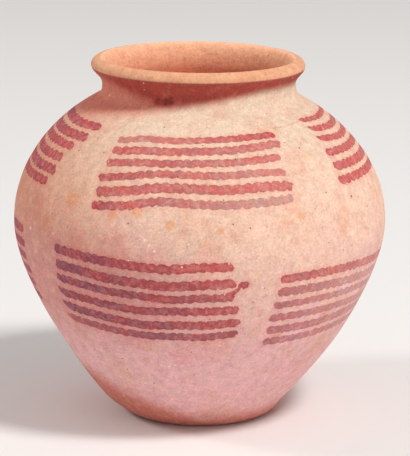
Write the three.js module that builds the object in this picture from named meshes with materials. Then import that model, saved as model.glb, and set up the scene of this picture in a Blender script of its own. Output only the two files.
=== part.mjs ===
// Globular storage jar of marl clay, coil built on a flat pad, with a turned and rolled lip.
// Millimetres, +Z up. The jar stands on z = 0 and +Z is its axis.
import * as THREE from 'three';

// Outside form
const footRadius = 46.5;      // where the level foot and the slope of the wall would meet
const heelRadius = 12;        // rounding between foot and wall
const wallSlope = 31.5;       // degrees from level at which the wall leaves the heel
const slopeReach = 16.3;      // how far the wall keeps that slope before it steepens
const bellyRadius = 120;      // greatest girth
const bellyHeight = 126.7;
const bellyDrop = 43.2;       // how far the upright run under the belly reaches down
const shoulderRise = 95.9;    // height that the shoulder's curve would reach on the axis
const neckRadius = 62;        // narrowest place outside
const neckSplay = 4.4;        // how much wider the neck's foot is, where it leaves the shoulder
const neckTurn = 3.8;         // tightness of the turn from shoulder into neck
const neckHeight = 9;         // from the neck's foot up to the narrowest place
const neckHollow = 4.7;       // upright run below the narrowest place
const lipOverhang = 6.4;      // how far the lip stands out over the narrowest place
const lipHeight = 12;         // from the narrowest place up to the widest place of the lip
const lipUndercut = 5.9;      // upright run where the lip's underside leaves the neck
const lipDrop = 4.2;          // upright run down from the widest place of the lip
const lipRoll = 5.7;          // from the lip's widest place in to its top
const crestRise = 4.8;        // from the lip's widest place up to its top
const crestRun = 3.2;         // level run from the top of the lip in towards the throat
const throatFlare = 9;        // upright run where the throat opens into the lip

// Clay
const floorThickness = 8.5;
const wallThickness = 5.6;
const neckThickness = 4.8;

// Coils and their joints
const coilCount = 10;
const padReach = 17;          // how far the pad comes up the wall past the heel
const collarReach = 12;       // how far the neck coil comes down over the shoulder
const lap = 6;                // how far each coil runs down inside the one below it
const slipFilm = 0.3;         // wet clay brushed into each joint, too thin to be a piece

const clays = {
  base: { color: '#c98a70', roughness: 0.9 },
  low: { color: '#dc9a83', roughness: 0.88 },
  high: { color: '#e6b797', roughness: 0.86 },
  rim: { color: '#dd9670', roughness: 0.84 },
};

// Facets: round the jar, up a coil, round the heel, up the neck coil, and along each curve of the lip
const turnSteps = 48;
const coilSteps = 2;
const heelSteps = 3;
const neckSteps = 6;
const undersideSteps = 5;
const topSteps = 4;
const throatSteps = 6;

// The outside is one run of curves from the middle of the foot to the narrowest place of the neck.
const slope = THREE.MathUtils.degToRad(wallSlope);
const neckFootRadius = neckRadius + neckSplay;
const lipRadius = neckRadius + lipOverhang;
const crestRadius = lipRadius - lipRoll;
const footFlat = footRadius - heelRadius * Math.tan(slope / 2);
const heelEnd = new THREE.Vector2(
  footFlat + heelRadius * Math.sin(slope),
  heelRadius * (1 - Math.cos(slope)),
);
const shoulderEnd = Math.acos(neckFootRadius / bellyRadius);
const neckFoot = new THREE.Vector2(neckFootRadius, bellyHeight + shoulderRise * Math.sin(shoulderEnd));
const shoulderRun = new THREE.Vector2(
  -bellyRadius * Math.sin(shoulderEnd),
  shoulderRise * Math.cos(shoulderEnd),
).normalize();
const narrowest = new THREE.Vector2(neckRadius, neckFoot.y + neckHeight);

const foot = new THREE.LineCurve(new THREE.Vector2(0, 0), new THREE.Vector2(footFlat, 0));
const heel = new THREE.EllipseCurve(
  footFlat, heelRadius, heelRadius, heelRadius, -Math.PI / 2, slope - Math.PI / 2,
);
const lowerWall = new THREE.CubicBezierCurve(
  heelEnd,
  new THREE.Vector2(Math.cos(slope), Math.sin(slope)).multiplyScalar(slopeReach).add(heelEnd),
  new THREE.Vector2(bellyRadius, bellyHeight - bellyDrop),
  new THREE.Vector2(bellyRadius, bellyHeight),
);
const shoulder = new THREE.EllipseCurve(0, bellyHeight, bellyRadius, shoulderRise, 0, shoulderEnd);
const neck = new THREE.CubicBezierCurve(
  neckFoot,
  shoulderRun.clone().multiplyScalar(neckTurn).add(neckFoot),
  new THREE.Vector2(neckRadius, narrowest.y - neckHollow),
  narrowest,
);

const outside = new THREE.CurvePath();
for (const stretch of [foot, heel, lowerWall, shoulder, neck]) outside.add(stretch);
const heelDistance = foot.getLength() + heel.getLength();
const neckFootDistance = heelDistance + lowerWall.getLength() + shoulder.getLength();
const outsideLength = outside.getLength();

// How thick the clay is at a distance along the outside: it thins from floor to wall, and again at the neck.
function thicknessAt(distance) {
  const upWall = THREE.MathUtils.smoothstep(distance, foot.getLength(), heelDistance + padReach);
  const upNeck = THREE.MathUtils.smoothstep(distance, neckFootDistance - collarReach, outsideLength);
  return floorThickness
    + (wallThickness - floorThickness) * upWall
    + (neckThickness - wallThickness) * upNeck;
}

function outsideAt(distance) {
  return outside.getPoint(distance / outsideLength);
}

function insideAt(distance) {
  const along = outside.getTangent(distance / outsideLength);
  const inward = new THREE.Vector2(-along.y, along.x);
  return inward.multiplyScalar(thicknessAt(distance)).add(outsideAt(distance));
}

// Distances from one place to another in equal steps, both ends included.
function stations(from, to, steps) {
  return Array.from({ length: steps + 1 }, (_, i) => from + ((to - from) * i) / steps);
}

// A joint is a bevel: its inner edge lies one lap lower than its outer edge.
// Half of the slip film is left on each side of it, measured square to the bevel.
const jointShift = (slipFilm / 2) * Math.hypot(1, lap / wallThickness);

// Section of a coil: up the outside, over the upper bevel, down the inside, over the lower bevel.
function coilSection(from, to, steps) {
  const up = stations(from + jointShift, to - jointShift, steps);
  const outer = up.map((distance) => outsideAt(distance));
  const inner = up.map((distance) => insideAt(distance - lap)).reverse();
  return [...outer, ...inner, outer[0].clone()];
}

function turned(section) {
  const geometry = new THREE.LatheGeometry(section, turnSteps);
  geometry.rotateX(Math.PI / 2);
  return geometry;
}

function clayPiece(name, section, clay) {
  const material = new THREE.MeshStandardMaterial({ ...clay, metalness: 0 });
  const piece = new THREE.Mesh(turned(section), material);
  piece.name = name;
  return piece;
}

const padEnd = heelDistance + padReach;
const collarStart = neckFootDistance - collarReach;
const coilHeight = (collarStart - padEnd) / coilCount;

const jar = new THREE.Group();

// Base pad: a round slab of clay, flat below, its edge drawn up and bevelled inwards.
function basePadSection() {
  const rim = padEnd - jointShift;
  const outer = [
    ...stations(0, foot.getLength(), 1),
    ...stations(foot.getLength(), heelDistance, heelSteps).slice(1),
    ...stations(heelDistance, rim, coilSteps).slice(1),
  ];
  const inner = [
    ...stations(rim - lap, heelDistance, 1),
    ...stations(heelDistance, foot.getLength(), heelSteps).slice(1),
  ];
  const floorCentre = new THREE.Vector2(0, floorThickness);
  return [
    ...outer.map((distance) => outsideAt(distance)),
    ...inner.map((distance) => insideAt(distance)),
    floorCentre,
  ];
}
jar.add(clayPiece('base_pad', basePadSection(), clays.base));

// Wall coils: each is pressed down on the one below and smeared inside and out until the joint closes.
for (let i = 0; i < coilCount; i += 1) {
  const start = padEnd + i * coilHeight;
  const clay = i < coilCount / 2 ? clays.low : clays.high;
  const name = `wall_coil_${String(i + 1).padStart(2, '0')}`;
  jar.add(clayPiece(name, coilSection(start, start + coilHeight, coilSteps), clay));
}

// Neck coil: closes the shoulder and turns up into the short hollow neck.
jar.add(clayPiece('neck_coil', coilSection(collarStart, outsideLength, neckSteps), clays.high));

// Rim coil: set on the neck, thrown outwards on the turntable and rolled over to a thick round lip.
function rimCoilSection() {
  const start = outsideAt(outsideLength);
  const seatOuter = new THREE.Vector2(start.x, start.y + jointShift);
  const seatInner = insideAt(outsideLength - lap + jointShift);
  const widest = new THREE.Vector2(lipRadius, narrowest.y + lipHeight);
  const crest = new THREE.Vector2(crestRadius, widest.y + crestRise);
  const underside = new THREE.CubicBezierCurve(
    seatOuter,
    new THREE.Vector2(neckRadius, seatOuter.y + lipUndercut),
    new THREE.Vector2(lipRadius, widest.y - lipDrop),
    widest,
  );
  const top = new THREE.EllipseCurve(crestRadius, widest.y, lipRoll, crestRise, 0, Math.PI / 2);
  const throatRadius = neckRadius - neckThickness;
  const throat = new THREE.CubicBezierCurve(
    crest,
    new THREE.Vector2(crestRadius - crestRun, crest.y),
    new THREE.Vector2(throatRadius, narrowest.y + throatFlare),
    new THREE.Vector2(throatRadius, narrowest.y),
  );
  return [
    ...underside.getPoints(undersideSteps),
    ...top.getPoints(topSteps).slice(1),
    ...throat.getPoints(throatSteps).slice(1),
    seatInner,
    seatOuter.clone(),
  ];
}
jar.add(clayPiece('rim_coil', rimCoilSection(), clays.rim));

export default jar;
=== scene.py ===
import math

import bmesh
import bpy
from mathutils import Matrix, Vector, noise
from mathutils.geometry import interpolate_bezier


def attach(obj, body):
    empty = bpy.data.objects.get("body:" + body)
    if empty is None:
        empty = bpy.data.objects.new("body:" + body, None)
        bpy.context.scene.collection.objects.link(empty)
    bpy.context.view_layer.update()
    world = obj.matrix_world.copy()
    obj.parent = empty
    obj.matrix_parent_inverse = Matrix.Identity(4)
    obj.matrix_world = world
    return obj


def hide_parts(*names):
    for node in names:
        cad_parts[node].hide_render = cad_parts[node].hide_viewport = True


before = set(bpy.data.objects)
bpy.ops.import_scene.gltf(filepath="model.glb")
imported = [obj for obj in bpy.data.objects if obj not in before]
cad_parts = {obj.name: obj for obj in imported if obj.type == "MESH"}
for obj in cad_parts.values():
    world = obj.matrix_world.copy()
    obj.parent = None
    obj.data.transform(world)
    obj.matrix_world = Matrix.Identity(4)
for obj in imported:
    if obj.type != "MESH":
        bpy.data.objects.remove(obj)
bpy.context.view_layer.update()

MM = 0.001

# Camera: eye a metre and a half off, a little above the mouth, looking down at the belly.
# The jar stands a few pixels left of the middle of the photograph's 410 by 456 frame.
photo_width, photo_height = 410, 456
jar_axis_pixel = 199.6
eye_distance = 1.5
eye_height = 475.8 * MM
look_down = math.radians(13.35)
focal_pixels = 2373.0

camera_data = bpy.data.cameras.new("camera")
camera_data.lens = camera_data.sensor_width * focal_pixels / photo_height
camera = bpy.data.objects.new("camera", camera_data)
bpy.context.scene.collection.objects.link(camera)
camera.location = ((photo_width / 2 - jar_axis_pixel) / focal_pixels * eye_distance, -eye_distance, eye_height)
camera.rotation_euler = (math.pi / 2 - look_down, 0, 0)
bpy.context.scene.camera = camera

# Base pad: a round slab of marl clay patted flat, its edge drawn up and bevelled to take the first coil.
# The jar's outside line starts here: foot, heel, lower wall, shoulder and neck are one run of points,
# and every piece takes its place from a distance along that line and the clay's thickness square to it.
foot_radius = 46.5 * MM
heel_radius = 12 * MM
wall_slope = math.radians(31.5)
slope_reach = 16.3 * MM
belly_radius = 120 * MM
belly_height = 126.7 * MM
belly_drop = 43.2 * MM
shoulder_rise = 95.9 * MM
neck_foot_radius = 66.4 * MM
neck_turn = 3.8 * MM
neck_radius = 62 * MM
neck_height = 9 * MM
neck_hollow = 4.7 * MM
floor_thickness = 8.5 * MM
wall_thickness = 5.6 * MM
neck_thickness = 4.8 * MM
pad_reach = 17 * MM
collar_reach = 12 * MM
lap = 6 * MM


def section_point(r, z):
    return Vector((r, 0, z))


def arc_points(centre, radius_r, radius_z, start, end, steps):
    points = []
    for i in range(steps + 1):
        angle = start + (end - start) * i / steps
        points.append(centre + section_point(radius_r * math.cos(angle), radius_z * math.sin(angle)))
    return points


foot_flat = foot_radius - heel_radius * math.tan(wall_slope / 2)
slope_run = section_point(math.cos(wall_slope), math.sin(wall_slope))
shoulder_end = math.acos(neck_foot_radius / belly_radius)
shoulder_run = section_point(
    -belly_radius * math.sin(shoulder_end), shoulder_rise * math.cos(shoulder_end)
).normalized()
neck_foot = section_point(neck_foot_radius, belly_height + shoulder_rise * math.sin(shoulder_end))
narrowest = section_point(neck_radius, neck_foot.z + neck_height)

foot_points = [section_point(foot_flat * i / 20, 0) for i in range(21)]
heel_points = arc_points(
    section_point(foot_flat, heel_radius), heel_radius, heel_radius, -math.pi / 2, wall_slope - math.pi / 2, 12
)
lower_points = interpolate_bezier(
    heel_points[-1],
    heel_points[-1] + slope_run * slope_reach,
    section_point(belly_radius, belly_height - belly_drop),
    section_point(belly_radius, belly_height),
    200,
)
shoulder_points = arc_points(section_point(0, belly_height), belly_radius, shoulder_rise, 0, shoulder_end, 200)
neck_points = interpolate_bezier(
    neck_foot,
    neck_foot + shoulder_run * neck_turn,
    narrowest - section_point(0, neck_hollow),
    narrowest,
    40,
)


def run_length(points):
    return sum((b - a).length for a, b in zip(points, points[1:]))


outline = [foot_points[0]]
for run in (foot_points, heel_points, lower_points, shoulder_points, neck_points):
    outline += run[1:]
reached = [0.0]
for a, b in zip(outline, outline[1:]):
    reached.append(reached[-1] + (b - a).length)

heel_start = run_length(foot_points)
heel_end = heel_start + run_length(heel_points)
neck_start = heel_end + run_length(lower_points) + run_length(shoulder_points)
neck_end = reached[-1]
pad_end = heel_end + pad_reach
collar_start = neck_start - collar_reach


def smooth(value, low, high):
    share = min(max((value - low) / (high - low), 0), 1)
    return share * share * (3 - 2 * share)


def outside_at(distance):
    low, high = 0, len(reached) - 1
    while high - low > 1:
        middle = (low + high) // 2
        if reached[middle] <= distance:
            low = middle
        else:
            high = middle
    share = (distance - reached[low]) / (reached[high] - reached[low])
    return outline[low].lerp(outline[high], share)


def inside_at(distance):
    up_wall = smooth(distance, heel_start, pad_end)
    up_neck = smooth(distance, collar_start, neck_end)
    thickness = floor_thickness + (wall_thickness - floor_thickness) * up_wall
    thickness += (neck_thickness - wall_thickness) * up_neck
    reach = 0.5 * MM
    along = outside_at(min(distance + reach, neck_end)) - outside_at(max(distance - reach, 0))
    return outside_at(distance) + section_point(-along.z, along.x).normalized() * thickness


# How far the potter's hands left the jar from true: the mouth dips to the right, the foot sits to the left,
# the wall is a little out of round, and the inside keeps the ridges of the fingers, wiped away at the mouth.
mouth_dip, lip_dip = math.radians(0.92), math.radians(0.66)
lip_off_centre = 0.9 * MM
foot_off_centre = 2.9 * MM
out_of_round, lump_size = 0.45 * MM, 60 * MM
finger_dent, finger_size = 0.16 * MM, 13 * MM
ridge_depth, ridge_step = 0.45 * MM, 10 * MM

# Heights between which each of them sets in, or fades out.
heel_zone = (0, 12 * MM)
foot_zone = (0, 56 * MM)
dip_zone = (120 * MM, 205 * MM)
lip_zone = (206 * MM, 226 * MM)
wiped_zone = (190 * MM, 212 * MM)
ridge_wander = 4
ridge_shift = Vector((7, 3, 1))


def by_hand(place, inside):
    """Moves a place on the true form to where the potter left it."""
    z = place.z
    outward = Vector((place.x, place.y, 0))
    radius = outward.length
    if radius < 1e-6:
        return place.copy()
    outward /= radius
    above_foot = smooth(z, *heel_zone)
    push = out_of_round * noise.noise(place / lump_size) + finger_dent * noise.noise(place / finger_size)
    if inside:
        wander = ridge_wander * noise.noise(place / lump_size + ridge_shift)
        push -= ridge_depth * math.sin(math.tau * z / ridge_step + wander) * (1 - smooth(z, *wiped_zone))
    moved = place + outward * push * above_foot
    moved.x -= foot_off_centre * above_foot * (1 - smooth(z, *foot_zone))
    at_lip = smooth(z, *lip_zone)
    dip = mouth_dip * smooth(z, *dip_zone) * (1 - at_lip) + lip_dip * at_lip
    moved.z -= place.x * math.tan(dip)
    moved.x -= lip_off_centre * at_lip
    return moved


surface_step = 1.6 * MM
inside_step = 2.4 * MM
around = 448
weld_distance = 0.002 * MM
crease_angle = math.radians(35)


def stations(start, end, step):
    count = max(1, round(abs(end - start) / step))
    return [start + (end - start) * i / count for i in range(count + 1)]


def outer_stations(start, end):
    return [(outside_at(d), d) for d in stations(start, end, surface_step)]


def inner_stations(start, end):
    return [(inside_at(d), -1) for d in stations(start, end, inside_step)]


def turn_piece(name, node, section, material, closed=True, paint=None):
    """A piece of clay: its section turned once round, painted where it is painted, and left as the hands left it.

    The section lists places with their distance up the outside, which is below zero on the inside.
    """
    mesh = bmesh.new()
    up = mesh.verts.layers.float.new("up")
    inner = mesh.verts.layers.float.new("inner")
    verts = []
    for place, distance in section:
        vert = mesh.verts.new(place)
        vert[up] = distance
        vert[inner] = 1.0 if distance < 0 else 0.0
        verts.append(vert)
    edges = [mesh.edges.new(pair) for pair in zip(verts, verts[1:])]
    if closed:
        edges.append(mesh.edges.new((verts[-1], verts[0])))
    bmesh.ops.spin(
        mesh, geom=verts + edges, cent=(0, 0, 0), axis=(0, 0, 1), dvec=(0, 0, 0),
        angle=math.tau, steps=around, use_merge=True, use_duplicate=False,
    )
    bmesh.ops.remove_doubles(mesh, verts=mesh.verts, dist=weld_distance)
    bmesh.ops.recalc_face_normals(mesh, faces=mesh.faces)
    if paint:
        paint(mesh, up)
    for vert in mesh.verts:
        vert.co = by_hand(vert.co, vert[inner] > 0.5)
    for face in mesh.faces:
        face.smooth = True
    for edge in mesh.edges:
        if len(edge.link_faces) == 2 and edge.calc_face_angle(0) > crease_angle:
            edge.smooth = False
    data = bpy.data.meshes.new(name)
    mesh.to_mesh(data)
    mesh.free()
    piece = bpy.data.objects.new(name, data)
    bpy.context.scene.collection.objects.link(piece)
    piece.data.materials.append(material)
    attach(piece, "root")
    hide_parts(node)
    return piece


def linear(hex_colour):
    channels = [int(hex_colour[i:i + 2], 16) / 255 for i in (1, 3, 5)]
    return [c / 12.92 if c <= 0.04045 else ((c + 0.055) / 1.055) ** 2.4 for c in channels] + [1]


def add_node(tree, kind, settings=None, out=0, **inputs):
    """Adds a node, sets its properties, fills or links its inputs by name or number, and hands on one output."""
    node = tree.nodes.new(kind)
    for key, value in (settings or {}).items():
        setattr(node, key, value)
    for key, value in inputs.items():
        socket = node.inputs[int(key[1:])] if key[0] == "i" and key[1:].isdigit() else node.inputs[key]
        if isinstance(value, bpy.types.NodeSocket):
            tree.links.new(value, socket)
        else:
            socket.default_value = value
    return node if out is None else node.outputs[out]


MIX_COLOUR = {"data_type": "RGBA"}
TINT = {"data_type": "RGBA", "blend_type": "MULTIPLY"}
SOFT_STEP = {"interpolation_type": "SMOOTHSTEP"}


# Blemishes where the photograph shows them: angle round the jar in degrees, height and radius in millimetres.
# Stains are straw-coloured, the dark spots under the lip are painted shadow where the lip's two shadows cross,
# rosy and paler places are clouds of the firing, and scrapes show fresher clay. Flecks are lime and pits are where
# temper burnt out.
stains = [
    (-43, 157, 5), (-27, 152, 3), (-19, 154.5, 3.6), (-8.5, 149, 3.2), (-52, 140, 4.5), (32, 151, 2.8), (6, 146, 2.2),
]
# Painted shadow: the darkest core of the lip's shadow on the neck, left of the middle.
painted_shadow_core = [(-24, 213.2, 2.4), (-20, 213.8, 2.6), (-16, 214.4, 2.4)]
rosy = [
    (-26, 132, 12), (-14, 128, 8), (-60, 148, 10), (3, 132, 7), (3, 68, 13), (-6, 62, 9), (-38, 133, 9),
    (-22, 74, 11), (-10, 90, 9), (1, 113, 7), (-14, 103, 7),
]
paler = [(41, 87, 10), (33, 71, 8), (52, 99, 6), (62, 90, 6)]
scrapes = [(-16, 139.4, 0.85), (-14.7, 136.2, 0.8), (-13.1, 133, 0.95), (-62, 133, 1.2), (52, 134, 1.5)]
flecks = [
    (-15, 53.5, 0.6), (-12, 52.7, 0.55), (-9.5, 54.2, 0.5), (-36.5, 39, 0.65), (-53, 44.5, 0.5), (29, 15, 0.65),
    (7, 69.6, 0.5), (7.5, 79.7, 0.45), (17, 86.5, 0.55), (14.5, 106.9, 0.5), (19, 109.3, 0.5), (-5, 124, 0.55),
    (8.5, 126, 0.45), (-3, 138, 0.45),
]
pits = [
    (55.5, 156, 0.9), (41.5, 188, 0.6), (44, 162, 0.45), (10, 149.5, 0.45), (-21.5, 148.2, 0.45), (-50, 183, 0.5),
    (-44.5, 191, 0.4), (-47, 172, 0.45), (-37, 61, 0.45), (-31, 46.7, 0.45), (-20, 38, 0.5),
]


def on_outside(angle, z):
    low, high = len(foot_points), len(outline) - 1
    while high - low > 1:
        middle = (low + high) // 2
        if outline[middle].z <= z * MM:
            low = middle
        else:
            high = middle
    radius = outline[low].x
    turn = math.radians(angle)
    return by_hand(Vector((radius * math.sin(turn), -radius * math.cos(turn), z * MM)), False)


def spots(tree, place, edge, listed):
    """Where the listed blemishes are: 1 inside them and 0 outside, with an edge broken up by a noise.

    The noise adds half a radius to the distance on average, so the edge lies round one and a half radii.
    """
    found = None
    for angle, z, radius in listed:
        away = add_node(
            tree, "ShaderNodeVectorMath", {"operation": "DISTANCE"}, "Value", i0=place, i1=on_outside(angle, z)
        )
        wandering = add_node(tree, "ShaderNodeMath", {"operation": "MULTIPLY_ADD"}, i0=edge, i1=radius * MM, i2=away)
        spot = add_node(
            tree, "ShaderNodeMapRange", SOFT_STEP, i0=wandering, i1=1.1 * radius * MM, i2=1.9 * radius * MM,
            i3=1.0, i4=0.0,
        )
        if found is None:
            found = spot
        else:
            found = add_node(tree, "ShaderNodeMath", {"operation": "MAXIMUM"}, i0=found, i1=spot)
    return found


def clay_with_painted_shade(tree):
    """Nodes of the fired marl clay, with painted shade in its colour under the lip, on the left side, at the foot's
    edge and down the throat. Returns its colour, its relief in millimetres and its coordinates.
    """
    place = add_node(tree, "ShaderNodeTexCoord", out="Object")
    parts = add_node(tree, "ShaderNodeSeparateXYZ", out=None, i0=place).outputs
    side, height = parts["X"], parts["Z"]

    # Firing: pink low down, where the kiln was cooler, and higher up on the left, cream over the belly and
    # duller cream on the shoulder, with peach clouds. The left side is painted darker, mauve below and tan above, as
    # painted shade.
    cloud = add_node(tree, "ShaderNodeTexNoise", i0=place, Scale=1 / (48 * MM), Detail=3.0, Roughness=0.55)
    left_side = add_node(tree, "ShaderNodeMath", {"operation": "MINIMUM"}, i0=side, i1=0.0)
    fire_height = add_node(tree, "ShaderNodeMath", {"operation": "MULTIPLY_ADD"}, i0=left_side, i1=0.3, i2=height)
    rise = add_node(
        tree, "ShaderNodeMapRange", SOFT_STEP, i0=fire_height, i1=38 * MM, i2=168 * MM, i3=-0.4, i4=0.68
    )
    cream_share = add_node(
        tree, "ShaderNodeMath", {"operation": "MULTIPLY_ADD", "use_clamp": True}, i0=cloud, i1=0.75, i2=rise
    )
    fired = add_node(tree, "ShaderNodeMix", MIX_COLOUR, 2, i0=cream_share, i6=linear("#eeb8b9"), i7=linear("#eac2aa"))
    top_share = add_node(tree, "ShaderNodeMapRange", SOFT_STEP, i0=height, i1=150 * MM, i2=202 * MM, i3=0.0, i4=0.8)
    topped = add_node(tree, "ShaderNodeMix", MIX_COLOUR, 2, i0=top_share, i6=fired, i7=linear("#ddc6ac"))
    patch = add_node(tree, "ShaderNodeTexNoise", i0=place, Scale=1 / (21 * MM), Detail=4.0, Roughness=0.6)
    patch_share = add_node(tree, "ShaderNodeMapRange", SOFT_STEP, i0=patch, i1=0.48, i2=0.7, i3=0.0, i4=0.4)
    peach = add_node(tree, "ShaderNodeMix", MIX_COLOUR, 2, i0=patch_share, i6=topped, i7=linear("#e2a081"))
    # Painted shade on the left side: mauve low down and tan higher up, fading out to the right and towards the foot.
    browner = add_node(tree, "ShaderNodeMapRange", SOFT_STEP, i0=height, i1=112 * MM, i2=160 * MM, i3=0.0, i4=1.0)
    tan = add_node(tree, "ShaderNodeMix", MIX_COLOUR, 2, i0=browner, i6=linear("#cb877f"), i7=linear("#d08767"))
    tan_reach = add_node(tree, "ShaderNodeMath", {"operation": "MULTIPLY_ADD"}, i0=browner, i1=45 * MM, i2=side)
    tan_side = add_node(
        tree, "ShaderNodeMapRange", SOFT_STEP, i0=tan_reach, i1=25 * MM, i2=-85 * MM, i3=0.0, i4=0.85
    )
    tan_up = add_node(tree, "ShaderNodeMapRange", SOFT_STEP, i0=height, i1=40 * MM, i2=95 * MM, i3=0.0, i4=1.0)
    left_shade_share = add_node(tree, "ShaderNodeMath", {"operation": "MULTIPLY"}, i0=tan_side, i1=tan_up)
    left_side_shaded = add_node(tree, "ShaderNodeMix", MIX_COLOUR, 2, i0=left_shade_share, i6=peach, i7=tan)

    # The lip fired orange. The hollow under it is painted deep red as the lip's painted shadow on the neck, down to a
    # slanting edge that is lowest left of the middle, and paler left of that where the left lamp lights the neck. The
    # foot's edge is red-brown, partly fired colour and partly painted shade where it turns under, highest on the
    # left, and the throat a redder orange the deeper it lies, partly painted shade, down to the dull brown of the
    # jar's inside.
    lip_height = add_node(
        tree, "ShaderNodeMath", {"operation": "MULTIPLY_ADD"}, i0=side, i1=math.tan(lip_dip), i2=height
    )
    lip_share = add_node(
        tree, "ShaderNodeMapRange", SOFT_STEP, i0=lip_height, i1=226.2 * MM, i2=227.5 * MM, i3=0.0, i4=0.9
    )
    lipped = add_node(tree, "ShaderNodeMix", MIX_COLOUR, 2, i0=lip_share, i6=left_side_shaded, i7=linear("#df9d73"))
    # Painted shadow of the lip on the neck: deep red down to a slanting edge, paler on the left.
    level_right = add_node(tree, "ShaderNodeMath", {"operation": "MINIMUM"}, i0=side, i1=40 * MM)
    lip_shadow_height = add_node(
        tree, "ShaderNodeMath", {"operation": "MULTIPLY_ADD"}, i0=level_right, i1=-0.16, i2=height
    )
    lip_shadow_lower_edge = add_node(
        tree, "ShaderNodeMapRange", SOFT_STEP, i0=lip_shadow_height, i1=208.5 * MM, i2=215.5 * MM, i3=0.0, i4=0.95
    )
    lip_shadow_paler_height = add_node(tree, "ShaderNodeMath", {"operation": "MULTIPLY_ADD"}, i0=side, i1=0.4, i2=height)
    deeper = add_node(
        tree, "ShaderNodeMapRange", SOFT_STEP, i0=lip_shadow_paler_height, i1=195 * MM, i2=204 * MM, i3=0.0, i4=1.0
    )
    lip_shadow_paler_left = add_node(tree, "ShaderNodeMapRange", i0=deeper, i1=0.0, i2=1.0, i3=0.72, i4=1.0)
    lip_shadow_upper_edge = add_node(
        tree, "ShaderNodeMapRange", SOFT_STEP, i0=lip_height, i1=226.2 * MM, i2=227.5 * MM, i3=1.0, i4=0.0
    )
    painted_lip_shadow = add_node(
        tree, "ShaderNodeMath", {"operation": "MULTIPLY"}, i0=lip_shadow_upper_edge,
        i1=add_node(tree, "ShaderNodeMath", {"operation": "MULTIPLY"}, i0=lip_shadow_lower_edge, i1=lip_shadow_paler_left),
    )
    red = add_node(tree, "ShaderNodeMix", MIX_COLOUR, 2, i0=deeper, i6=linear("#c43c22"), i7=linear("#a83128"))
    with_painted_lip_shadow = add_node(tree, "ShaderNodeMix", MIX_COLOUR, 2, i0=painted_lip_shadow, i6=lipped, i7=red)
    # The foot's red-brown edge is partly its fired colour and partly painted shade where the foot turns under, more
    # on the left.
    foot_height = add_node(tree, "ShaderNodeMath", {"operation": "MULTIPLY_ADD"}, i0=left_side, i1=0.37, i2=height)
    foot_edge = add_node(
        tree, "ShaderNodeMapRange", SOFT_STEP, i0=foot_height, i1=17 * MM, i2=1 * MM, i3=0.0, i4=0.9
    )
    footed = add_node(tree, "ShaderNodeMix", MIX_COLOUR, 2, i0=foot_edge, i6=with_painted_lip_shadow, i7=linear("#d27360"))
    inner = add_node(tree, "ShaderNodeAttribute", {"attribute_name": "inner"}, "Fac")
    # The throat's redder orange deeper down is partly its fired colour and partly painted shade in the mouth; lower
    # still it fades to the dull brown inside.
    depth = add_node(tree, "ShaderNodeMapRange", SOFT_STEP, i0=height, i1=200 * MM, i2=230 * MM, i3=0.0, i4=1.0)
    near_mouth = add_node(tree, "ShaderNodeMapRange", SOFT_STEP, i0=height, i1=186 * MM, i2=207 * MM, i3=0.0, i4=1.0)
    deep = add_node(tree, "ShaderNodeMix", MIX_COLOUR, 2, i0=near_mouth, i6=linear("#cb7f60"), i7=linear("#f04a22"))
    throat = add_node(tree, "ShaderNodeMix", MIX_COLOUR, 2, i0=depth, i6=deep, i7=linear("#ffbb92"))
    body = add_node(tree, "ShaderNodeMix", MIX_COLOUR, 2, i0=inner, i6=footed, i7=throat)

    # Blemishes and the painted shadow core under the lip first, then mottling, wiping streaks and grain, then sand,
    # lime flecks and pits. The straw-coloured specks keep out of the red painted shadow under the lip.
    edge = add_node(tree, "ShaderNodeTexNoise", i0=place, Scale=1 / (5 * MM), Detail=3.0)
    stained = add_node(
        tree, "ShaderNodeMix", TINT, 2, i0=spots(tree, place, edge, stains), i6=body, i7=(0.96, 0.8, 0.62, 1)
    )
    # Painted shadow: darkens the core of the lip's shadow on the neck.
    shadow_core_painted = add_node(
        tree, "ShaderNodeMix", TINT, 2, i0=spots(tree, place, edge, painted_shadow_core), i6=stained, i7=(0.64, 0.42, 0.38, 1)
    )
    rosed = add_node(
        tree, "ShaderNodeMix", TINT, 2, i0=spots(tree, place, edge, rosy), i6=shadow_core_painted, i7=(0.99, 0.87, 0.88, 1)
    )
    paled = add_node(
        tree, "ShaderNodeMix", TINT, 2, i0=spots(tree, place, edge, paler), i6=rosed, i7=(1.06, 1.15, 1.22, 1)
    )
    scraped = add_node(
        tree, "ShaderNodeMix", MIX_COLOUR, 2, i6=paled, i7=linear("#f6dcd2"),
        i0=add_node(
            tree, "ShaderNodeMath", {"operation": "MULTIPLY"}, i0=spots(tree, place, edge, scrapes), i1=0.6
        ),
    )
    mottle = add_node(tree, "ShaderNodeTexNoise", i0=place, Scale=1 / (5.5 * MM), Detail=5.0, Roughness=0.7)
    mottle_shade = add_node(tree, "ShaderNodeMapRange", i0=mottle, i1=0.3, i2=0.7, i3=0.85, i4=1.12)
    flat_place = add_node(tree, "ShaderNodeMapping", i0=place, Scale=(1, 1, 9))
    streak = add_node(tree, "ShaderNodeTexNoise", i0=flat_place, Scale=1 / (16 * MM), Detail=4.0, Roughness=0.7)
    streak_shade = add_node(tree, "ShaderNodeMapRange", i0=streak, i1=0.3, i2=0.7, i3=0.955, i4=1.035)
    shade = add_node(tree, "ShaderNodeMath", {"operation": "MULTIPLY"}, i0=mottle_shade, i1=streak_shade)
    mottled = add_node(tree, "ShaderNodeVectorMath", {"operation": "SCALE"}, 0, i0=scraped, Scale=shade)
    grain = add_node(tree, "ShaderNodeTexNoise", i0=place, Scale=1 / (1.4 * MM), Detail=3.0, Roughness=0.75)
    grain_share = add_node(tree, "ShaderNodeMapRange", i0=grain, i1=0.3, i2=0.7, i3=0.0, i4=1.0)
    grain_tint = add_node(
        tree, "ShaderNodeMix", MIX_COLOUR, 2, i0=grain_share, i6=(0.87, 0.8, 0.77, 1), i7=(1.13, 1.2, 1.24, 1)
    )
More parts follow.
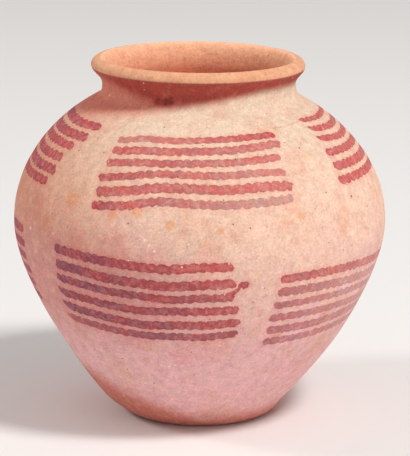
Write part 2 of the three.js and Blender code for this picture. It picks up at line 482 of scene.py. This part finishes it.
    grained = add_node(tree, "ShaderNodeVectorMath", {"operation": "MULTIPLY"}, 0, i0=mottled, i1=grain_tint)
    blush = add_node(tree, "ShaderNodeTexNoise", i0=place, Scale=1 / (6.5 * MM), Detail=3.0, Roughness=0.6)
    blush_share = add_node(tree, "ShaderNodeMapRange", i0=blush, i1=0.5, i2=0.7, i3=0.0, i4=0.3)
    blushed = add_node(tree, "ShaderNodeMix", MIX_COLOUR, 2, i0=blush_share, i6=grained, i7=linear("#dc8c78"))
    clear_of_lip_shadow = add_node(tree, "ShaderNodeMapRange", i0=painted_lip_shadow, i1=0.0, i2=1.0, i3=0.25, i4=0.03)
    straw = add_node(tree, "ShaderNodeMapRange", i0=blush, i1=0.5, i2=0.32, i3=0.0, i4=1.0)
    straw_share = add_node(tree, "ShaderNodeMath", {"operation": "MULTIPLY"}, i0=straw, i1=clear_of_lip_shadow)
    strawed = add_node(tree, "ShaderNodeMix", MIX_COLOUR, 2, i0=straw_share, i6=blushed, i7=linear("#f3c79f"))

    sand = add_node(tree, "ShaderNodeTexVoronoi", out="Distance", Vector=place, Scale=1 / (4 * MM))
    sand_share = add_node(tree, "ShaderNodeMapRange", SOFT_STEP, i0=sand, i1=0.06, i2=0.13, i3=0.4, i4=0.0)
    sanded = add_node(tree, "ShaderNodeMix", MIX_COLOUR, 2, i0=sand_share, i6=strawed, i7=linear("#b07a60"))
    lime = add_node(tree, "ShaderNodeTexVoronoi", out="Distance", Vector=place, Scale=1 / (11 * MM))
    lime_spot = add_node(tree, "ShaderNodeMapRange", SOFT_STEP, i0=lime, i1=0.02, i2=0.06, i3=0.85, i4=0.0)
    lime_share = add_node(
        tree, "ShaderNodeMath", {"operation": "MAXIMUM"}, i0=lime_spot, i1=spots(tree, place, edge, flecks)
    )
    shifted = add_node(tree, "ShaderNodeMapping", i0=place, Location=(0.31, 0.17, 0.23))
    pit = add_node(tree, "ShaderNodeTexVoronoi", out="Distance", Vector=shifted, Scale=1 / (9 * MM))
    pit_spot = add_node(tree, "ShaderNodeMapRange", SOFT_STEP, i0=pit, i1=0.03, i2=0.07, i3=1.0, i4=0.0)
    pit_share = add_node(
        tree, "ShaderNodeMath", {"operation": "MAXIMUM"}, i0=pit_spot, i1=spots(tree, place, edge, pits)
    )
    pitted = add_node(tree, "ShaderNodeMix", MIX_COLOUR, 2, i0=pit_share, i6=sanded, i7=linear("#8c5f4a"))

    soft_relief = add_node(tree, "ShaderNodeMath", {"operation": "MULTIPLY"}, i0=mottle, i1=0.3)
    streak_relief = add_node(
        tree, "ShaderNodeMath", {"operation": "MULTIPLY_ADD"}, i0=streak, i1=0.12, i2=soft_relief
    )
    grain_relief = add_node(
        tree, "ShaderNodeMath", {"operation": "MULTIPLY_ADD"}, i0=grain, i1=0.3, i2=streak_relief
    )
    relief = add_node(tree, "ShaderNodeMath", {"operation": "MULTIPLY_ADD"}, i0=pit_share, i1=-0.25, i2=grain_relief)
    return pitted, lime_share, relief, place


def finish_clay(tree, colour, lime_share, relief, roughness):
    limed = add_node(tree, "ShaderNodeMix", MIX_COLOUR, 2, i0=lime_share, i6=colour, i7=linear("#f6e4d8"))
    bumped = add_node(tree, "ShaderNodeBump", i0=1.0, i1=MM, Height=relief)
    bsdf = add_node(
        tree, "ShaderNodeBsdfPrincipled", out="BSDF", Roughness=roughness, IOR=1.45,
        **{"Base Color": limed, "Normal": bumped},
    )
    add_node(tree, "ShaderNodeOutputMaterial", out=None, Surface=bsdf)


# Fired marl clay: fine, smoothed wet and left unglazed, so it is matt, faintly streaked and full of small grit.
# Its colour also carries painted shade: the lip's shadow on the neck, the darker left side, part of the foot's
# red-brown edge and of the throat's redder orange.
bare = bpy.data.materials.new("fired_marl_clay_with_painted_shade")
bare.use_nodes = True
bare.node_tree.nodes.clear()
colour, lime_share, relief, place = clay_with_painted_shade(bare.node_tree)
finish_clay(bare.node_tree, colour, lime_share, relief, 0.86)

pad_inner = inner_stations(pad_end - lap, 0)
pad_inner[-1] = (section_point(0, floor_thickness), -1)
turn_piece("base_pad_clay", "base_pad", outer_stations(0, pad_end) + pad_inner, bare, closed=False)

# Wall coils: ten rolled ropes of clay, each pressed on the last, lapped inside it and smoothed over.
# They carry the painting: groups of six level strokes of iron-red slip, four groups round the shoulder
# and five under the belly, laid with a trembling brush so that both edges are scalloped.
coil_count = 10
coil_height = (collar_start - pad_end) / coil_count
dab_length = 6.3 * MM
scallop_depth = 1.0 * MM
end_round = 2.0 * MM
slip_bleed = 0.24 * MM

# A stroke: angle at its start and its end in degrees, heights at equal steps between them and half its width in
# millimetres. Lean is how far each end is cut slanting, per millimetre up. Purple is how cool the stroke fired
# and cover how little it wore, at its start and its end, where they differ from the rest of the group.
shoulder_front = [
    dict(ends=(-34.2, 33.4), heights=(191.8, 194, 193.9, 194.5, 195.1, 195.7, 196.1), half=2.5, lean=(0.5, -0.2),
         cover=(0.7, 1.0)),
    dict(ends=(-33.8, 33.3), heights=(186.4, 188, 188.4, 189, 189.5, 190.6, 191.4), half=2.9, lean=(0.2, 0)),
    dict(ends=(-34.2, 30.6), heights=(179.9, 181.6, 182.2, 182.8, 183.1, 183.8, 184.7), half=2.6, lean=(0.2, 0)),
    dict(ends=(-35, 30.5), heights=(171.7, 174.3, 176.7, 176.6, 176.4, 177.2, 176.5), half=2.5, lean=(0.1, -0.2),
         cover=(0.95, 0.7), purple=(0.3, 0.3)),
    dict(ends=(-34, 31.2), heights=(164.1, 166.5, 169.3, 169.3, 168.7, 169.5, 168.9), half=3.1, lean=(0, -0.1)),
    dict(ends=(-34.4, 30.2), heights=(156.3, 158.2, 161.7, 161, 160.4, 160.9, 161.5), half=2.7, lean=(0, 0.3),
         cover=(1.0, 0.5), purple=(0.1, 0.7)),
]
shoulder_right = [
    dict(ends=(54.8, 121), heights=(200.1, 199.4, 199.5, 199, 198), half=2.0, lean=(1.0, 0)),
    dict(ends=(56.2, 123), heights=(195.2, 193.9, 193.9, 193.6, 192), half=2.4, lean=(1.1, 0)),
    dict(ends=(56, 121), heights=(189.8, 188.1, 188.1, 187.8, 186), half=2.4, lean=(0.9, 0)),
    dict(ends=(54, 122), heights=(182.3, 181.9, 181.7, 181, 180), half=2.7, lean=(0.2, 0)),
    dict(ends=(53.8, 123), heights=(174.5, 174.2, 174, 173.5, 172), half=3.0, lean=(0.2, 0)),
    dict(ends=(52.6, 122), heights=(166.5, 166.4, 166.6, 166, 165), half=2.8, lean=(0.1, 0)),
]
shoulder_left = [
    dict(ends=(-118, -48.4), heights=(194, 196, 196.4, 195.8, 196), half=3.1, lean=(0, -0.2)),
    dict(ends=(-120, -50.8), heights=(188, 190, 190.2, 189.8, 189.8), half=3.2, lean=(0, -0.2)),
    dict(ends=(-121, -54.7), heights=(182, 184.6, 184.8, 184.2, 184), half=2.7, lean=(0, -0.2)),
    dict(ends=(-122, -57), heights=(176, 178.8, 178.8, 177.2, 177), half=2.8, lean=(0, -0.1)),
    dict(ends=(-121, -56.8), heights=(169, 171.4, 171.6, 170, 169.8), half=3.0, lean=(0, -0.1)),
    dict(ends=(-123, -58.9), heights=(162, 164.4, 164.6, 163, 162.7), half=2.7, lean=(0, 0)),
]
shoulder_back = [
    dict(ends=(141 + i % 2, 217 - i % 3), heights=(194 - 6.9 * i, 196 - 7 * i, 195 - 6.8 * i),
         half=2.5 + 0.1 * i, lean=(0.2, 0))
    for i in range(6)
]
belly_front = [
    dict(ends=(-47.6, 9.6), heights=(126.3, 125.3, 124.1, 122.8, 122, 123.5, 123.7), half=2.9, lean=(0.35, 0),
         purple=(0.9, -0.2)),
    dict(ends=(-47.5, 10.3), heights=(116.1, 115.4, 113.2, 112.2, 111, 112.3, 112.8), half=3.2, lean=(0.35, 0),
         purple=(1.0, 0.0)),
    dict(ends=(-48.5, 10.1), heights=(107, 106.2, 104.4, 103.6, 102.2, 103.3, 103.7), half=2.8, lean=(0.5, 0)),
    dict(ends=(-49, 11.7), heights=(97.3, 96.2, 94.6, 93.3, 94.1, 94.3, 94.8), half=2.95, lean=(0.6, 0.1)),
    dict(ends=(-48.9, 12.6), heights=(87.9, 86.5, 84.9, 83.3, 84.3, 84.5, 85.9), half=3.2, lean=(0.75, 0.3)),
    dict(ends=(-49.5, 12.4), heights=(79.4, 78.1, 76.5, 75.6, 76, 76, 77.7), half=2.9, lean=(0.75, 0.6),
         purple=(0.7, 0.7), cover=(0.85, 0.9)),
]
# A slip of the brush that joins the front group's end: a thin tail and a dot.
hook = [
    dict(ends=(7.6, 12.4), heights=(105.1, 106, 107.6, 109.9), half=1.7, lean=(0, 0)),
    dict(ends=(11.8, 14.3), heights=(111.2, 111.7), half=2.7, lean=(0, 0)),
]
belly_right = [
    dict(ends=(25, 87), heights=(113.1, 113.6, 112.5, 110.4, 109.7), half=2.8, lean=(0.1, 0),
         purple=(0.1, 0.3), cover=(0.92, 0.5)),
    dict(ends=(24.8, 86), heights=(104.5, 104.3, 103.2, 101.9, 100.9), half=3.0, lean=(0.1, 0)),
    dict(ends=(23.9, 86), heights=(95.4, 95.8, 95.3, 94.2, 93), half=2.5, lean=(0.1, 0)),
    dict(ends=(23.2, 85), heights=(86.7, 87.1, 86.7, 85.6, 85), half=2.75, lean=(0, 0)),
    dict(ends=(23.5, 84), heights=(78, 77.8, 78.5, 78.8, 78.8), half=3.1, lean=(0, 0)),
    dict(ends=(23.2, 84), heights=(69.7, 69.8, 70.5, 71, 70.9), half=2.75, lean=(-0.2, 0)),
]
belly_left = [
    dict(ends=(-128 - i % 2, -68.6 + 0.8 * (i % 2)), heights=(128 - 8.6 * i, 129 - 8.8 * i, 129.6 - 8.9 * i),
         half=2.8, lean=(0.3, 0))
    for i in range(6)
]
belly_back_right = [
    dict(ends=(100 - i % 2, 156 + i % 3), heights=(112 - 8.8 * i, 110 - 8.6 * i, 112 - 8.8 * i),
         half=2.6, lean=(0.3, 0))
    for i in range(6)
]
belly_back_left = [
    dict(ends=(172 + i % 2, 219 - i % 3), heights=(120 - 8.9 * i, 117 - 8.7 * i, 120 - 8.8 * i),
         half=2.8, lean=(0.3, 0))
    for i in range(6)
]
# A thin run of slip from the right shoulder's first stroke, almost wiped away.
trickle = [dict(ends=(34, 55.5), heights=(198.8, 199.1, 199.7, 200.2), half=0.45, lean=(0, 0))]


def distance_at_height(z):
    low, high = len(foot_points), len(outline) - 1
    while high - low > 1:
        middle = (low + high) // 2
        if outline[middle].z <= z:
            low = middle
        else:
            high = middle
    share = (z - outline[low].z) / (outline[high].z - outline[low].z)
    return reached[low] + (reached[high] - reached[low]) * share


laid = []
for group, purple, cover in (
    (shoulder_front, (0.2, 0.1), (0.9, 0.81)),
    (shoulder_right, (0.0, 0.1), (0.96, 0.88)),
    (shoulder_left, (0.6, 0.25), (1.0, 1.0)),
    (shoulder_back, (0.3, 0.3), (0.9, 0.9)),
    (belly_front, (0.95, 0.25), (1.0, 0.92)),
    (hook, (0.1, 0.1), (1.0, 1.0)),
    (belly_right, (0.45, 0.7), (0.78, 0.22)),
    (belly_left, (0.6, 0.8), (0.95, 0.95)),
    (belly_back_right, (0.4, 0.6), (0.85, 0.85)),
    (belly_back_left, (0.6, 0.4), (0.9, 0.9)),
    (trickle, (0, 0), (0.3, 0.3)),
):
    for stroke in group:
        start, end = (math.radians(a) for a in stroke["ends"])
        line = [distance_at_height(z * MM) for z in stroke["heights"]]
        laid.append(dict(
            start=start, span=end - start, line=line, radius=outside_at(line[len(line) // 2]).x,
            purple=stroke.get("purple", purple), cover=stroke.get("cover", cover),
            half=stroke["half"] * MM, lean=stroke["lean"], lowest=min(line), highest=max(line),
        ))


def against_stroke(stroke, angle, distance):
    """Where a place lies against a stroke: metres past its start, above its line, and short of its end."""
    past = (angle - stroke["start"] - stroke["span"] / 2 + math.pi) % math.tau - math.pi + stroke["span"] / 2
    line = stroke["line"]
    reach = min(max(past / stroke["span"], 0), 1) * (len(line) - 1)
    i = min(int(reach), len(line) - 2)
    t = reach - i
    before, after = line[max(i - 1, 0)], line[min(i + 2, len(line) - 1)]
    slope_in, slope_out = (line[i + 1] - before) / 2, (after - line[i]) / 2
    rise = line[i + 1] - line[i]
    bend = 3 * rise - 2 * slope_in - slope_out
    twist = slope_in + slope_out - 2 * rise
    middle = line[i] + t * (slope_in + t * (bend + t * twist))
    above = distance - middle
    lean_in, lean_out = stroke["lean"]
    return (
        past * stroke["radius"] + lean_in * above,
        above,
        (stroke["span"] - past) * stroke["radius"] + lean_out * above,
    )


def lay_strokes(mesh, up):
    """Gives each corner of the outside its place against the stroke it is in or next to."""
    brush = mesh.loops.layers.float_vector.new("brush")
    hand = mesh.loops.layers.float_vector.new("hand")
    cover = mesh.loops.layers.float.new("cover")
    clear, haze_reach = 8 * MM, 5 * MM
    nearby = []
    highest = max(vert[up] for vert in mesh.verts)
    lowest = min(vert[up] for vert in mesh.verts if vert[up] >= 0)
    for number, stroke in enumerate(laid):
        if stroke["lowest"] - clear < highest and stroke["highest"] + clear > lowest:
            nearby.append((number, stroke))
    for face in mesh.faces:
        chosen, deepest = None, haze_reach
        if all(vert[up] >= 0 for vert in face.verts):
            middle = face.calc_center_median()
            angle = math.atan2(middle.x, -middle.y)
            distance = sum(vert[up] for vert in face.verts) / len(face.verts)
            for number, stroke in nearby:
                if stroke["lowest"] - clear < distance < stroke["highest"] + clear:
                    past, above, short = against_stroke(stroke, angle, distance)
                    away = math.hypot(above, max(-past, -short, 0)) - stroke["half"]
                    if away < deepest:
                        chosen, deepest = (number, stroke), away
        for loop in face.loops:
            loop[brush] = (0, 1, 0)
            if chosen:
                number, stroke = chosen
                spot = loop.vert.co
                angle = math.atan2(spot.x, -spot.y)
                past, above, short = against_stroke(stroke, angle, loop.vert[up])
                share = min(max(past / (stroke["span"] * stroke["radius"]), 0), 1)
                purple = stroke["purple"][0] + (stroke["purple"][1] - stroke["purple"][0]) * share
                loop[brush] = (past, above, short)
                loop[hand] = (number * 0.37, stroke["half"], purple)
                loop[cover] = stroke["cover"][0] + (stroke["cover"][1] - stroke["cover"][0]) * share


# Iron-red slip over the clay: thin, matt and brushed, darker where it pooled along its edges, greyer and
# more purple where it fired cooler, worn through in places and smeared into a faint pink haze round each stroke.
# The clay under the slip carries the same painted shade as the bare clay.
painted = bpy.data.materials.new("iron_red_slip_on_marl_clay_with_painted_shade")
painted.use_nodes = True
tree = painted.node_tree
tree.nodes.clear()
colour, lime_share, relief, place = clay_with_painted_shade(tree)

brush = add_node(tree, "ShaderNodeAttribute", {"attribute_name": "brush"}, "Vector")
past, above, short = add_node(tree, "ShaderNodeSeparateXYZ", out=None, i0=brush).outputs
hand = add_node(tree, "ShaderNodeAttribute", {"attribute_name": "hand"}, "Vector")
seed, half_width, purple = add_node(tree, "ShaderNodeSeparateXYZ", out=None, i0=hand).outputs
cover = add_node(tree, "ShaderNodeAttribute", {"attribute_name": "cover"}, "Fac")

tremble = add_node(
    tree, "ShaderNodeTexNoise", {"noise_dimensions": "4D"}, i0=place, i1=seed, Scale=1 / (9 * MM), Detail=2.0
)
along = add_node(tree, "ShaderNodeMath", {"operation": "MULTIPLY_ADD"}, i0=tremble, i1=10 * MM, i2=past)
swing = add_node(
    tree, "ShaderNodeMath", {"operation": "MULTIPLY_ADD"}, i0=along, i1=math.pi / dab_length, i2=seed
)
upper_side = add_node(tree, "ShaderNodeMath", {"operation": "GREATER_THAN"}, i0=above, i1=0.0)
offset_swing = add_node(tree, "ShaderNodeMath", {"operation": "MULTIPLY_ADD"}, i0=upper_side, i1=1.2, i2=swing)
dab = add_node(
    tree, "ShaderNodeMath", {"operation": "ABSOLUTE"},
    i0=add_node(tree, "ShaderNodeMath", {"operation": "SINE"}, i0=offset_swing),
)
press = add_node(
    tree, "ShaderNodeTexNoise", {"noise_dimensions": "4D"}, i0=place, i1=seed, Scale=1 / (14 * MM), Detail=1.0
)
deep_scallop = add_node(
    tree, "ShaderNodeMapRange", i0=press, i1=0.3, i2=0.7, i3=0.4 * scallop_depth, i4=1.4 * scallop_depth
)
wide_enough = add_node(tree, "ShaderNodeMapRange", i0=half_width, i1=1.1 * MM, i2=2.5 * MM, i3=0.0, i4=1.0)
scallop = add_node(tree, "ShaderNodeMath", {"operation": "MULTIPLY"}, i0=deep_scallop, i1=wide_enough)
dab_reach = add_node(
    tree, "ShaderNodeMath", {"operation": "MULTIPLY_ADD"}, i1=scallop, i2=half_width,
    i0=add_node(tree, "ShaderNodeMath", {"operation": "SUBTRACT"}, i0=dab, i1=0.62),
)
ragged = add_node(tree, "ShaderNodeTexNoise", i0=place, Scale=1 / (1.8 * MM), Detail=3.0, Roughness=0.6)
reach = add_node(
    tree, "ShaderNodeMath", {"operation": "MULTIPLY_ADD"}, i1=1.3 * MM, i2=dab_reach,
    i0=add_node(tree, "ShaderNodeMath", {"operation": "SUBTRACT"}, i0=ragged, i1=0.5),
)
nearer_end = add_node(tree, "ShaderNodeMath", {"operation": "MINIMUM"}, i0=past, i1=short)
past_round = add_node(tree, "ShaderNodeMath", {"operation": "SUBTRACT"}, i0=end_round, i1=nearer_end)
beyond = add_node(tree, "ShaderNodeMath", {"operation": "MAXIMUM"}, i0=past_round, i1=0.0)
away = add_node(
    tree, "ShaderNodeVectorMath", {"operation": "LENGTH"}, "Value",
    i0=add_node(tree, "ShaderNodeCombineXYZ", i0=beyond, i1=above),
)
within = add_node(tree, "ShaderNodeMath", {"operation": "SUBTRACT"}, i0=reach, i1=away)
mask = add_node(tree, "ShaderNodeMapRange", SOFT_STEP, i0=within, i1=-slip_bleed, i2=slip_bleed, i3=0.0, i4=1.0)

# Bristle marks run along the stroke, so they are stretched in the brush's own coordinates.
bristle_place = add_node(tree, "ShaderNodeMapping", i0=brush, Scale=(0.3, 1, 0))
bristles = add_node(
    tree, "ShaderNodeTexNoise", {"noise_dimensions": "4D"}, i0=bristle_place, i1=seed, Scale=1 / (1.1 * MM),
    Detail=3.0, Roughness=0.65,
)
wear = add_node(tree, "ShaderNodeTexNoise", i0=place, Scale=1 / (3.2 * MM), Detail=5.0, Roughness=0.68)
worn_cover = add_node(tree, "ShaderNodeMapRange", i0=wear, i1=0.32, i2=0.5, i3=0.6, i4=0.98)
streaked_cover = add_node(tree, "ShaderNodeMapRange", i0=bristles, i1=0.3, i2=0.52, i3=0.88, i4=1.0)
slip_share = add_node(
    tree, "ShaderNodeMath", {"operation": "MULTIPLY"}, i0=mask,
    i1=add_node(
        tree, "ShaderNodeMath", {"operation": "MULTIPLY"}, i0=cover,
        i1=add_node(tree, "ShaderNodeMath", {"operation": "MULTIPLY"}, i0=worn_cover, i1=streaked_cover),
    ),
)
smeared = add_node(tree, "ShaderNodeMapRange", SOFT_STEP, i0=within, i1=-3.5 * MM, i2=-0.3 * MM, i3=0.0, i4=0.85)
haze = add_node(
    tree, "ShaderNodeMath", {"operation": "MULTIPLY"}, i0=smeared,
    i1=add_node(tree, "ShaderNodeMath", {"operation": "MULTIPLY"}, i0=cover, i1=cover),
)
hazed = add_node(tree, "ShaderNodeMix", TINT, 2, i0=haze, i6=colour, i7=(1.02, 0.8, 0.81, 1))
firing = add_node(
    tree, "ShaderNodeTexNoise", {"noise_dimensions": "4D"}, i0=place, i1=seed, Scale=1 / (13 * MM), Detail=3.0
)
firing_swing = add_node(tree, "ShaderNodeMapRange", i0=firing, i1=0.3, i2=0.7, i3=-0.45, i4=0.45)
purple_share = add_node(tree, "ShaderNodeMath", {"operation": "ADD", "use_clamp": True}, i0=purple, i1=firing_swing)
slip = add_node(tree, "ShaderNodeMix", MIX_COLOUR, 2, i0=purple_share, i6=linear("#b93a3b"), i7=linear("#853a4a"))
pooled = add_node(tree, "ShaderNodeMapRange", SOFT_STEP, i0=within, i1=0.2 * MM, i2=1.4 * MM, i3=0.78, i4=1.08)
slip_shade = add_node(tree, "ShaderNodeMapRange", i0=bristles, i1=0.3, i2=0.7, i3=0.86, i4=1.12)
shaded_slip = add_node(
    tree, "ShaderNodeVectorMath", {"operation": "SCALE"}, i0=slip,
    Scale=add_node(tree, "ShaderNodeMath", {"operation": "MULTIPLY"}, i0=pooled, i1=slip_shade),
)
grit = add_node(tree, "ShaderNodeTexNoise", i0=place, Scale=1 / (1.3 * MM), Detail=3.0, Roughness=0.7)
grit_share = add_node(tree, "ShaderNodeMapRange", i0=grit, i1=0.35, i2=0.65, i3=0.0, i4=1.0)
grit_tint = add_node(
    tree, "ShaderNodeMix", MIX_COLOUR, 2, i0=grit_share, i6=(0.84, 0.72, 0.7, 1), i7=(1.16, 1.32, 1.36, 1)
)
gritty_slip = add_node(tree, "ShaderNodeVectorMath", {"operation": "MULTIPLY"}, 0, i0=shaded_slip, i1=grit_tint)
bloom = add_node(tree, "ShaderNodeTexNoise", i0=place, Scale=1 / (3.4 * MM), Detail=4.0, Roughness=0.7)
bloom_share = add_node(tree, "ShaderNodeMapRange", i0=bloom, i1=0.47, i2=0.68, i3=0.0, i4=0.52)
bloom_colour = add_node(
    tree, "ShaderNodeMix", MIX_COLOUR, 2, i0=purple_share, i6=linear("#d09290"), i7=linear("#b38490")
)
bloomed = add_node(tree, "ShaderNodeMix", MIX_COLOUR, 2, i0=bloom_share, i6=gritty_slip, i7=bloom_colour)
with_slip = add_node(tree, "ShaderNodeMix", MIX_COLOUR, 2, i0=slip_share, i6=hazed, i7=bloomed)
finish_clay(tree, with_slip, lime_share, relief, 0.84)

for i in range(coil_count):
    start = pad_end + i * coil_height
    end = start + coil_height
    name = f"wall_coil_{i + 1:02d}"
    section = outer_stations(start, end) + inner_stations(end - lap, start - lap)
    turn_piece(name + "_clay", name, section, painted, paint=lay_strokes)

# Neck coil: closes the shoulder and turns up into the short hollow neck.
# It is the last rope before the turntable, smoothed with a wet hand. Only the highest strokes touch its edge.
neck_section = outer_stations(collar_start, neck_end) + inner_stations(neck_end - lap, collar_start - lap)
turn_piece("neck_coil_clay", "neck_coil", neck_section, painted, paint=lay_strokes)

# Rim coil: set on the neck, thrown outwards on the turntable and rolled over to a thick round lip.
# Its throat is the inside of the jar; it fired a little more orange than the wall, and its redder orange deeper down
# is partly painted shade.
lip_radius = 68.4 * MM
lip_rise = 12 * MM
lip_undercut = 5.9 * MM
lip_drop = 4.2 * MM
crest_radius = 62.7 * MM
crest_rise = 4.8 * MM
crest_run = 3.2 * MM
throat_flare = 9 * MM
throat_radius = neck_radius - neck_thickness
widest = section_point(lip_radius, narrowest.z + lip_rise)
crest = section_point(crest_radius, widest.z + crest_rise)
underside = interpolate_bezier(
    narrowest, narrowest + section_point(0, lip_undercut), widest - section_point(0, lip_drop), widest, 17
)
roll = arc_points(section_point(crest_radius, widest.z), lip_radius - crest_radius, crest_rise, 0, math.pi / 2, 10)
throat = interpolate_bezier(
    crest, crest - section_point(crest_run, 0),
    section_point(throat_radius, narrowest.z + throat_flare), section_point(throat_radius, narrowest.z), 17,
)
rim_section = [(p, neck_end) for p in underside + roll[1:]]
rim_section += [(p, -1) for p in throat[1:] + [inside_at(neck_end - lap)]]
turn_piece("rim_coil_clay", "rim_coil", rim_section, bare)

# Floor: a plain pale sheet that catches the jar's shadow.
floor_half = 4.0
floor_material = bpy.data.materials.new("pale_floor")
floor_material.use_nodes = True
floor_material.node_tree.nodes["Principled BSDF"].inputs["Base Color"].default_value = linear("#e9e6e2")
floor_material.node_tree.nodes["Principled BSDF"].inputs["Roughness"].default_value = 0.9
floor_mesh = bmesh.new()
bmesh.ops.create_grid(floor_mesh, x_segments=1, y_segments=1, size=floor_half)
floor_data = bpy.data.meshes.new("floor")
floor_mesh.to_mesh(floor_data)
floor_mesh.free()
floor = bpy.data.objects.new("floor", floor_data)
bpy.context.scene.collection.objects.link(floor)
floor.data.materials.append(floor_material)

# Light: a soft lamp high on the right in front casts the lip's shadow down to the left across the neck, a
# weaker one stands on the left, a faint one low on the right, and the room is pale. A colour renders about
# as it is written.
world = bpy.data.worlds.new("pale_room")
bpy.context.scene.world = world
world.use_nodes = True
world.node_tree.nodes["Background"].inputs["Color"].default_value = linear("#ececee")
world.node_tree.nodes["Background"].inputs["Strength"].default_value = 0.52

lamp_distance = 4.4


def soft_lamp(name, turn, rise, size, power):
    """A square lamp, turned and raised by so many degrees as seen from the jar, with 0 degrees at the camera."""
    turn, rise = math.radians(turn), math.radians(rise)
    data = bpy.data.lights.new(name, "AREA")
    data.size = size
    data.energy = power
    lamp = bpy.data.objects.new(name, data)
    bpy.context.scene.collection.objects.link(lamp)
    towards = Vector((math.sin(turn) * math.cos(rise), -math.cos(turn) * math.cos(rise), math.sin(rise)))
    lamp.location = Vector((0, 0, belly_height)) + towards * lamp_distance
    lamp.rotation_euler = (-towards).to_track_quat("-Z", "Y").to_euler()


soft_lamp("key", 48.7, 54.8, size=0.8, power=136)
soft_lamp("left", -93, 37, size=0.8, power=50)
soft_lamp("fill", 60, 5, size=1.0, power=12)

bpy.context.scene.view_settings.view_transform = "Standard"
